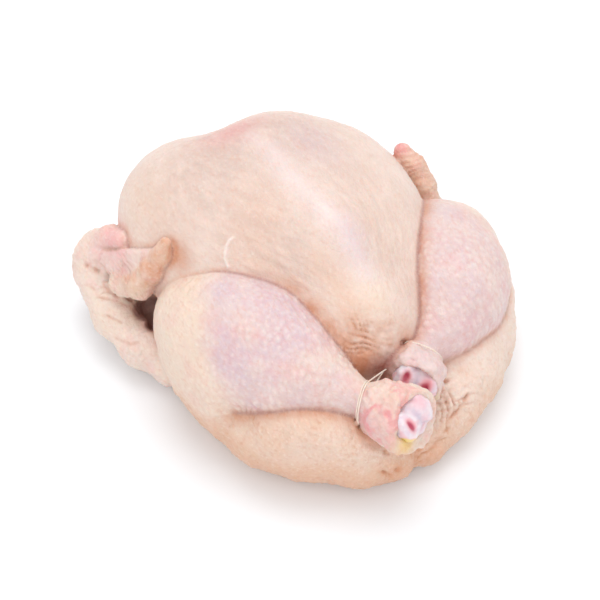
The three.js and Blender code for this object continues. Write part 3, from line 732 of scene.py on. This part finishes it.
def drumstick_follicles():
    """The bumps round the drumsticks' follicles, and the net of creases between them."""
    bumps, net = np.zeros(len(P)), np.zeros(len(P))
    uneven = np.clip(0.8 + 0.5 * noise(P, 9, 10), 0.3, 1.2)
    slant = math.radians(FOLLICLES["slant"])
    for leg, name in zip(LEGS, DRUMSTICKS):
        down, around, part = round_leg(P, leg)
        u = down * math.cos(slant) + around * math.sin(slant)
        v = around * math.cos(slant) - down * math.sin(slant)
        distance, strength = follicles(u, v, FOLLICLES["pitch"], FOLLICLES["scatter"])
        here = share[name] * smooth_step(part, 0.05, 0.45) * (1 - smooth_step(part, 0.93, 1.02))
        bumps += strength * np.exp(-(distance / FOLLICLES["radius"]) ** 2) * here * uneven
        net += np.exp(-((distance - NET["distance"]) / NET["width"]) ** 2) * here * uneven
    return bumps, net


def grown_relief(bumps):
    """The height of what grows on the skin: follicles, pores, muscle and fat under it, and its grain."""
    pore = np.exp(-(pores(P, PORES["pitch"]) / PORES["radius"]) ** 2)
    relief = bumps * FOLLICLES["height"] + pore * on_skin(torso=0.2, wing=0.4, thigh=0.36)
    for size, seed, torso, thigh, wing, drumstick in ROUGHNESS:
        relief += noise(P, size, seed) * on_skin(torso=torso, thigh=thigh, wing=wing, drumstick=drumstick)
    for centre, where, reach, pitch, height in FEATHER_ROWS:
        q = P - np.array(centre)
        around = np.arctan2(q[:, 1], q[:, 0]) * FEATHER_ARC
        distance, strength = follicles(around, np.linalg.norm(q, axis=1), pitch, FEATHER_SCATTER)
        feathers = strength * np.exp(-(distance / FEATHER_RADIUS) ** 2) * spot(P, where, reach)
        relief += height * feathers * share["torso"]
    for number, (where, reach, along, long, fine, height) in enumerate(GRAINS):
        relief += height * spot(P, where, reach) * grain(P, along, long, fine, GRAIN_SEED + number)
    for leg, name in zip(LEGS, DRUMSTICKS):
        hock = smooth_step(past(P, leg["ankle"], np.subtract(leg["end"], leg["ankle"])), 0, 4) * share[name]
        relief += hock * (1.1 * noise(P, 6, 31) + noise(P, 2.6, 32))
    relief += tail_end * (0.8 * noise(P, 3.6, 5) + 0.5 * noise(P, 1.9, 6))
    return relief + KEEL_HEIGHT * line(P, KEEL, KEEL_WIDTH) + spots(P, SWELLINGS)


def folded_relief():
    """The height of what the skin's folding makes, with how creased it leaves each point and the painted
    highlight along its ridges.
    """
    relief, creases, pale_and_painted_light = np.zeros(len(P)), np.zeros(len(P)), np.zeros(len(P))
    for seed, (centre, reach, across, pitch, depth) in enumerate(WRINKLES):
        height = depth * wrinkles(P, centre, reach, across, pitch, seed)
        relief += height
        creases = np.maximum(creases, smooth_step(-height, 0.3, 1.5))
    for corners, width, depth in GROOVES:
        groove = line(P, corners, width) * np.clip(0.7 + 0.8 * noise(P, 3.5, 35), 0.1, 1)
        relief -= depth * groove
        creases = np.maximum(creases, groove * min(depth, 1))
    for corners, width, height, paleness in RIDGES:
        ridge = line(P, corners, width)
        relief += height * ridge
        pale_and_painted_light = np.maximum(pale_and_painted_light, ridge * paleness)
    return relief, creases, pale_and_painted_light


bumps, net = drumstick_follicles()
folding, creases, ridges = folded_relief()
# The folds, for their painted shade: the orange-brown glow beside them, and the dark at their bottom, where
# the relief also lies flat.
folds = np.maximum(strongest(beside, ONE_SIDED_FOLDS), strongest(fold, TWO_SIDED_FOLDS))
deep_folds = strongest(fold, DEEP_FOLDS)
relief = (grown_relief(bumps) + folding) * above(0.2, 4) * (1 - LIE_FLAT * deep_folds)
skin_shape = P + normals * relief[:, None]
skin_shape[:, 2] = np.maximum(skin_shape[:, 2], 0)

# ---------------- tints


def finger_tints():
    """How far each point belongs to the fingers, and how far to the web of skin beside them."""
    finger = near("finger_l") * share["wing_l"] + near("finger_r") * share["wing_r"] * above(36, 50)
    return finger, near("web") * share["wing_l"] * (1 - finger)


def torso_tints():
    """Tan, peach and lilac on the breast and belly, which the breast's grain and the keel break up."""
    drawn = grain(P, BREAST_GRAIN, 14, 3.4, 51)
    keel = line(P, KEEL, 6)
    tan = (spots(P, TAN_SPOTS) + 0.14) * (1 + 0.45 * drawn) * (1 - 0.7 * keel)
    peach = spots(P, PEACH_SPOTS) + 0.4 * line(P, PEACH_STREAK, 8) * (1 + 0.6 * drawn)
    lilac = spots(P, LILAC_SPOTS) + 0.4 * keel
    return tan * share["torso"], peach * share["torso"], lilac * share["torso"]


def muscle_showing(through, towards, start, stop):
    """How far the muscle shows through the skin past a plane, with an uneven border."""
    warp = 2.4 * noise(P, 9, 8) + 1.2 * noise(P, 3.5, 9)
    return smooth_step(past(P, through, towards) + warp, start, stop)


def skin_tints(net):
    """The strength of each tint of the skin at each point, with the painted shade and painted light among
    them.
    """
    finger, web_skin = finger_tints()
    tan, peach, lilac = torso_tints()
    left_muscle = muscle_showing(*LEFT_MUSCLE) * (1 - 0.7 * smooth_step(P[:, 0], -30, -12))
    toward_ankle = smooth_step(round_leg(P, LEFT_LEG)[2], 0.5, 0.95)
    uneven = noise(P, 12, 52)
    left_hock, right_hock = on_skin(drum_l=spot(P, *LEFT_HOCK)), on_skin(drum_r=spot(P, *RIGHT_HOCK))

    tan += share["drum_l"] * below(44, 62) * (0.45 + 0.8 * net) + share["drum_r"] * (0.04 + 0.2 * net)

    peach += (0.5 + 0.3 * uneven + 0.9 * below(14, 38)) * share["thigh_l"]
    peach += (0.1 + 0.8 * below(16, 34) + 0.25 * uneven) * share["thigh_r"]
    peach += on_skin(wing_l=0.15, wing_r=0.25)

    orange = 0.85 * finger * (0.8 + 0.4 * noise(P, 4, 53)) * above(44, 62)

    right_muscle = muscle_showing(*RIGHT_MUSCLE)
    muscle = on_skin(drum_l=1.2 * left_muscle * (1 - 0.5 * toward_ankle), drum_r=0.7 * right_muscle)
    lilac += muscle * (0.75 + 0.45 * noise(P, 11, 12))
    lilac += 0.2 * web_skin * np.clip(0.7 + grain(P, WEB_VEINS, 9, 2.2, 54), 0, 1)

    cream = spots(P, CREAM_SPOTS) + on_skin(thigh=0.3, drum_l=0.75 * (1 - left_muscle))
    cream += 0.5 * web_skin * smooth_step(grain(P, WEB_STREAKS, 12, 2.0, 63), -0.1, 0.5)
    cream += 0.6 * share["wing"] * patchy(10, 14, -0.6, 0.4) * (1 - web_skin)
    cream += share["drum_l"] * left_muscle * (0.3 * patchy(5, 55, 0.1, 0.7) + 0.35 * toward_ankle)

    pink = spots(P, PINK_SPOTS) + 0.2 * net
    pink += 0.3 * web_skin * (0.6 + 0.8 * smooth_step(grain(P, WEB_STREAKS, 10, 2.2, 64), -0.2, 0.5))
    flushed = smooth_step(noise(P, 6, 15) + 0.5 * noise(P, 2.5, 16), 0.05, 0.5)
    pink += (1.3 * left_hock + 0.5 * right_hock) * (0.25 + flushed)
    pink += 0.16 * share["drumstick"] * patchy(8, 17, 0, 0.6) + 0.25 * share["wing"] * patchy(5, 56, 0.2, 0.7)

    # Rust colour with painted shade: an orange-brown glow along the folds, in the valleys of the wrinkles and
    # grooves, round the hollow behind the left hand and under the keel's tip. It also deepens towards the
    # bottom of the left thigh. The specks are the skin's own.
    rust_and_painted_shade = folds * (0.72 + 0.35 * noise(P, 6, 18)) + 0.9 * tail_end * (0.6 + 0.7 * noise(P, 4, 19))
    rust_and_painted_shade += 0.95 * creases + 0.4 * smooth_step(-bodies["pocket"], -5, -1)
    rust_and_painted_shade += spots(P, RUST_AND_SHADE_SPOTS) + on_skin(torso=0.5 * spot(P, *TAIL_RUST_AND_SHADE), thigh_l=0.2 * below(16, 36))
    speck = smooth_step(noise(P, 1.6, 61) * patchy(7, 62, -0.2, 0.5), 0.38, 0.6)
    rust_and_painted_shade += 0.35 * speck * on_skin(thigh=1, torso=0.5)

    # Painted shade: dark at the bottom of the folds and creases, in the vent's opening and on the hollow
    # behind the left hand.
    painted_shade = 0.8 * deep_folds + 0.3 * smooth_step(creases, 0.6, 1) + 0.95 * spot(P, VENT, VENT_REACH)
    painted_shade += 0.95 * (1 - smooth_step(np.abs(bodies["pocket"]), 0.6, 1.8))

    # Pale skin with painted light: highlights along the ridges and the keel, light painted on to the shaded
    # right hock and the left wing, and the top of the right thigh lighter.
    pale_and_painted_light = np.maximum.reduce([
        ridges, 0.45 * line(P, KEEL[1:], 6.5) * (0.8 + 0.5 * noise(P, 8, 33)), 0.45 * right_hock,
        (0.27 + 0.1 * web_skin) * share["wing_l"] * (1 - finger), 0.25 * share["thigh_r"] * above(22, 40)])

    fat = spot(P, *LEFT_FAT) + 0.5 * spot(P, *RIGHT_FAT) * share["drum_r"]
    coarse = 0.55 + on_skin(wing=0.45, thigh=0.45, drumstick=0.25)
    tints = dict(tan=tan, peach=peach, orange=orange, lilac=lilac, cream=cream, pink=pink, rust_and_painted_shade=rust_and_painted_shade,
                 painted_shade=painted_shade, fat=fat, bump=bumps, pale_and_painted_light=pale_and_painted_light, coarse=coarse)
    return {name: np.clip(value, 0, 1) for name, value in tints.items()}


# ---------------- materials


def linear(code):
    """A colour written as in a web page, in linear light."""
    parts = [int(code[i:i + 2], 16) / 255 for i in (0, 2, 4)]
    return (*[c / 12.92 if c <= 0.04045 else ((c + 0.055) / 1.055) ** 2.4 for c in parts], 1)


class Shader:
    """A material's nodes, made one call at a time."""

    def __init__(self, name):
        self.material = bpy.data.materials.new(name)
        self.material.use_nodes = True
        self.tree = self.material.node_tree
        self.surface = self.tree.nodes["Principled BSDF"]
        self.place = self.tree.nodes.new("ShaderNodeTexCoord").outputs["Object"]

    def node(self, kind, inputs, output=0, **settings):
        made = self.tree.nodes.new("ShaderNode" + kind)
        for key, value in settings.items():
            setattr(made, key, value)
        for key, value in inputs.items():
            self.set(made.inputs[key], value)
        return made.outputs[output]

    def set(self, socket, value):
        if isinstance(value, bpy.types.NodeSocket):
            self.tree.links.new(value, socket)
        else:
            socket.default_value = value

    def amount(self, name):
        return self.node("Attribute", {}, "Fac", attribute_name=name)

    def noise(self, millimetres, detail=3, stretch=(1, 1, 1)):
        place = self.node("Mapping", {"Vector": self.place, "Scale": stretch})
        inputs = {"Vector": place, "Scale": 1 / (millimetres * MM), "Detail": detail}
        return self.node("TexNoise", inputs, "Fac")

    def ramp(self, value, low, high, to_low=0.0, to_high=1.0):
        return self.node("MapRange", {"Value": value, "From Min": low, "From Max": high,
                                      "To Min": to_low, "To Max": to_high})

    def times(self, a, b):
        return self.node("Math", {0: a, 1: b}, operation="MULTIPLY")

    def plus(self, a, b):
        return self.node("Math", {0: a, 1: b}, operation="ADD")

    def mix(self, amount, a, b):
        return self.node("Mix", {"Factor": amount, 6: a, 7: b}, 2, data_type="RGBA")

    def bump(self, height, millimetres):
        return self.node("Bump", {"Height": height, "Distance": millimetres * MM, "Strength": 1.0})

    def mottled(self, millimetres, colours):
        """Two close colours in soft patches of about that size."""
        return self.mix(self.ramp(self.noise(millimetres), 0.35, 0.65), *map(linear, colours))

    def stained(self, colour, name, code, grain, least, most):
        """A colour with another over it, as strong as an attribute says and uneven with the grain."""
        amount = self.times(self.amount(name), self.ramp(self.noise(grain, 4), 0.3, 0.7, most * least, most))
        return self.mix(amount, colour, linear(code))

    def finish(self, **values):
        for key, value in values.items():
            self.set(self.surface.inputs[key.replace("_", " ")], value)
        return self.material


def skin_material():
    s = Shader("chicken_skin")
    coarse = s.amount("coarse")
    colour = s.mottled(16, SKIN_COLOURS)
    for name, code, most in SKIN_TINTS:
        colour = s.stained(colour, name, code, 2.4, 0.7, most)
    reddish = s.times(s.ramp(s.noise(1.6, 4, (1, 0.45, 1)), 0.5, 0.75, 0, REDDISH_MOST), coarse)
    colour = s.mix(reddish, colour, linear(REDDISH))
    flecks = s.times(s.ramp(s.noise(1.5, 4, (1, 0.5, 1)), 0.54, 0.78, 0, FLECKS_MOST), coarse)
    colour = s.mix(flecks, colour, linear(FLECKS))
    for name, code, most in SKIN_MARKS:
        colour = s.stained(colour, name, code, 1.7, 0.8, most)
    fine = s.plus(s.noise(0.8, 3), s.times(s.noise(1.9, 3, (1, 0.35, 1)), 1.4))
    fine = s.times(fine, s.plus(s.times(coarse, 0.9), 0.2))
    return s.finish(Base_Color=colour, Roughness=s.ramp(s.noise(5), 0.3, 0.7, 0.42, 0.56),
                    Subsurface_Weight=0.3, Subsurface_Radius=(1.0, 0.4, 0.25), Subsurface_Scale=0.0018,
                    Specular_IOR_Level=0.45, Normal=s.bump(fine, 0.4))


def cartilage_material():
    s = Shader("hock_cartilage")
    colour = s.mottled(3, CARTILAGE_COLOURS)
    for name, code in CARTILAGE_TINTS:
        colour = s.mix(s.amount(name), colour, linear(code))
    return s.finish(Base_Color=colour, Roughness=0.3, Coat_Weight=0.3, Coat_Roughness=0.2,
                    Subsurface_Weight=0.4, Subsurface_Radius=(1.0, 0.5, 0.4), Subsurface_Scale=0.003,
                    Normal=s.bump(s.noise(1.1), 0.1))


def elastic_material():
    s = Shader("truss_elastic")
    return s.finish(Base_Color=s.mottled(1.5, ELASTIC_COLOURS), Roughness=0.5,
                    Subsurface_Weight=0.3, Subsurface_Radius=(1.0, 0.7, 0.5), Subsurface_Scale=0.001,
                    Normal=s.bump(s.noise(0.5), 0.05))


def paper_material():
    s = Shader("floor_paper")
    colour = s.mix(s.ramp(s.noise(60), 0.3, 0.7), *PAPER_COLOURS)
    return s.finish(Base_Color=colour, Roughness=0.9, Specular_IOR_Level=0.1)


# ---------------- pieces


def build(name, points, quads, material, amounts, node):
    """A piece from points in the bird's own millimetres."""
    mesh = bpy.data.meshes.new(name)
    mesh.vertices.add(len(points))
    mesh.vertices.foreach_set("co", ((points - PLAN_MIDDLE) * MM).astype(np.float32).ravel())
    mesh.loops.add(quads.size)
    mesh.loops.foreach_set("vertex_index", quads.astype(np.int32).ravel())
    mesh.polygons.add(len(quads))
    mesh.polygons.foreach_set("loop_start", np.arange(0, quads.size, 4, dtype=np.int32))
    mesh.polygons.foreach_set("use_smooth", np.ones(len(quads), bool))
    mesh.update(calc_edges=True)
    for key, values in amounts.items():
        mesh.attributes.new(key, "FLOAT", "POINT").data.foreach_set("value", values.astype(np.float32))
    mesh.materials.append(material)
    piece = bpy.data.objects.new(name, mesh)
    bpy.context.scene.collection.objects.link(piece)
    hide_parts(node)
    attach(piece, "root")


def leg_frame(along, across=None):
    """Across, up and along, at right angles."""
    across = unit(np.cross((0, 0, 1), along)) if across is None else across
    up = unit(np.cross(along, across))
    return np.stack([np.cross(up, along), up, along])


def knuckle(leg, name, pits, material):
    """The two lobes of a hock's cartilage, with pits in their face."""
    points, quads = mesh_of(knuckle_field, (-KNUCKLE_REACH,) * 3, (KNUCKLE_REACH,) * 3, KNUCKLE_FINEST)
    normal = value_and_slope(knuckle_field, points)[1]
    front = smooth_step(points[:, 2], -2, 2)
    red = np.zeros(len(points))
    height = 0.4 * noise(points, 3, 21) + 0.15 * noise(points, 1.4, 22)
    for across, up, half_width, half_height, depth in pits:
        pit = spot(points, (across, up, 5), (half_width, half_height, 4)) * front
        height -= depth * pit
        red = np.maximum(red, pit)
    valley = np.maximum(spot(points, (0, 0, 2), (1.5, 10, 5)),
                        line(points, [(-1.6, 0.7, 4), (2, -3.6, 4), (5.5, -8, 2)], 1.3)) * front
    height -= 1.3 * valley
    points = points + normal * height[:, None]
    wander = noise(points, 2.2, 23)
    blush = spot(points, (6, 9, 2), (5, 5, 7)) + spot(points, (1, -7, 2), (5, 4, 5))
    pink = 0.6 * blush + 0.5 * smooth_step(noise(points, 3.4, 25), 0, 0.5) + 0.5 * smooth_step(red, 0.02, 0.3)
    yellow = smooth_step(-points[:, 1] - 0.9 * points[:, 0] + wander, 11, 13)
    amounts = dict(red=smooth_step(red, 0.2, 0.8), grey=0.6 * valley, pink=pink, yellow=yellow)
    amounts = {key: np.clip(value, 0, 1) for key, value in amounts.items()}
    placed = points @ leg_frame(unit(leg["cut"]), leg["lobes"]) + leg["seat"]
    build(name + "_lobes", placed, quads, material, amounts, name)


def windings(leg, angles, places):
    """Points of the elastic, just outside the skin all the way round the ankle."""
    across, up, along = leg_frame(unit(leg["ring_axis"]))
    count = round(abs(angles[1] - angles[0]) / CORNER_TURN)
    points = []
    for i in range(count + 1):
        t = i / count
        angle = math.radians(angles[0] + (angles[1] - angles[0]) * t)
        outward = across * math.cos(angle) + up * math.sin(angle)
        point = leg["ring"] + along * (places[0] + (places[1] - places[0]) * t)
        while drumstick_field(point[None], leg)[0] < ELASTIC_RADIUS + ELASTIC_LIFT:
            point = point + outward * 0.1
        points.append(point)
    return points


def smooth_loop(corners, steps):
    """A closed centripetal Catmull-Rom curve through the corners."""
    corners = np.array(corners)
    curve = []
    for i in range(len(corners)):
        four = np.roll(corners, 1 - i, 0)[:4]
        knots = np.concatenate([[0], np.cumsum(np.sqrt(np.linalg.norm(np.diff(four, axis=0), axis=1)))])
        for t in np.linspace(knots[1], knots[2], steps, endpoint=False):
            level = four
            for starts, stops in ((knots[:3], knots[1:]), (knots[:2], knots[2:]), (knots[1:2], knots[2:3])):
                level = [p * (b - t) / (b - a) + q * (t - a) / (b - a)
                         for p, q, a, b in zip(level, level[1:], starts, stops)]
            curve.append(level[0])
    return np.array(curve)


def tube(curve, radius, sides):
    """A closed tube round a closed curve, without twist."""
    ahead = np.roll(curve, -1, 0) - np.roll(curve, 1, 0)
    ahead /= np.linalg.norm(ahead, axis=1, keepdims=True)
    side = unit(np.cross(ahead[0], (0, 0, 1)))
    rings = []
    for point, forward in zip(curve, ahead):
        side = unit(side - forward * (side @ forward))
        up = np.cross(forward, side)
        angles = np.arange(sides) * 2 * math.pi / sides
        rings.append(point + radius * (np.cos(angles)[:, None] * side + np.sin(angles)[:, None] * up))
    gap = math.atan2(np.cross(rings[-1][0] - curve[-1], rings[0][0] - curve[0]) @ ahead[0],
                     (rings[-1][0] - curve[-1]) @ (rings[0][0] - curve[0]))
    n = len(curve)
    shift = round(gap / (2 * math.pi / sides))
    quads = []
    for i, j in product(range(n), range(sides)):
        turn = shift if i == n - 1 else 0
        after = (i + 1) % n * sides
        quads.append((i * sides + j, i * sides + (j + 1) % sides,
                      after + (j + 1 - turn) % sides, after + (j - turn) % sides))
    return np.concatenate(rings), np.array(quads)


tints = skin_tints(np.clip(net, 0, 1))
build("chicken_skin", skin_shape, skin_quads, skin_material(), tints, "chicken")
cartilage = cartilage_material()
knuckle(LEFT_LEG, "hock_cartilage_left", LEFT_PITS, cartilage)
knuckle(RIGHT_LEG, "hock_cartilage_right", RIGHT_PITS, cartilage)
half = ELASTIC_PITCH / 2
course = windings(LEFT_LEG, LEFT_TURNS, (-half, half)) + windings(RIGHT_LEG, RIGHT_TURNS, (half, -half))
loop_points, loop_quads = tube(smooth_loop(course, ELASTIC_STEPS), ELASTIC_RADIUS, ELASTIC_SIDES)
build("truss_elastic_loop", loop_points, loop_quads, elastic_material(), {}, "truss_elastic")

# ---------------- floor, light and camera, in metres and degrees

FLOOR_HALF = 3.0
LAMPS = dict(  # azimuth, elevation, distance, size, power
    overhead=(150, 74, 1.6, 1.3, 9), front=(-30, 40, 1.8, 1.0, 5))
SKY_STRENGTH = 0.92
CAMERA_TARGET = Vector((-0.01125, -0.00025, 0.047))
CAMERA_AZIMUTH, CAMERA_ELEVATION, CAMERA_DISTANCE = -26, 47, 1.0
SENSOR_MM, LENS_MM = 36, 116.1
NEAREST_SEEN, FURTHEST_SEEN = 0.05, 20


def aim(thing, azimuth, elevation, distance, target):
    """Places a lamp or a camera at a distance from its target, turned towards it."""
    azimuth, elevation = math.radians(azimuth), math.radians(elevation)
    away = Vector((math.sin(azimuth) * math.cos(elevation), -math.cos(azimuth) * math.cos(elevation),
                   math.sin(elevation)))
    thing.location = target + away * distance
    thing.rotation_mode = "QUATERNION"
    thing.rotation_quaternion = (-away).to_track_quat("-Z", "Y")
    bpy.context.scene.collection.objects.link(thing)


floor_mesh = bpy.data.meshes.new("floor")
floor_corners = [(x * FLOOR_HALF, y * FLOOR_HALF, 0) for x, y in ((-1, -1), (1, -1), (1, 1), (-1, 1))]
floor_mesh.from_pydata(floor_corners, [], [(0, 1, 2, 3)])
floor_mesh.materials.append(paper_material())
floor = bpy.data.objects.new("floor", floor_mesh)
bpy.context.scene.collection.objects.link(floor)

for name, (azimuth, elevation, distance, size, power) in LAMPS.items():
    light = bpy.data.lights.new(name, "AREA")
    light.shape = "DISK"
    light.size, light.energy = size, power
    aim(bpy.data.objects.new(name, light), azimuth, elevation, distance, Vector())

world = bpy.data.worlds.new("studio")
world.use_nodes = True
world.node_tree.nodes["Background"].inputs["Color"].default_value = (1, 1, 1, 1)
world.node_tree.nodes["Background"].inputs["Strength"].default_value = SKY_STRENGTH
bpy.context.scene.world = world
bpy.context.scene.view_settings.view_transform = "Standard"

camera = bpy.data.objects.new("camera", bpy.data.cameras.new("camera"))
camera.data.sensor_width, camera.data.lens = SENSOR_MM, LENS_MM
camera.data.clip_start, camera.data.clip_end = NEAREST_SEEN, FURTHEST_SEEN
aim(camera, CAMERA_AZIMUTH, CAMERA_ELEVATION, CAMERA_DISTANCE, CAMERA_TARGET)
bpy.context.scene.camera = camera

bpy.context.view_layer.update()
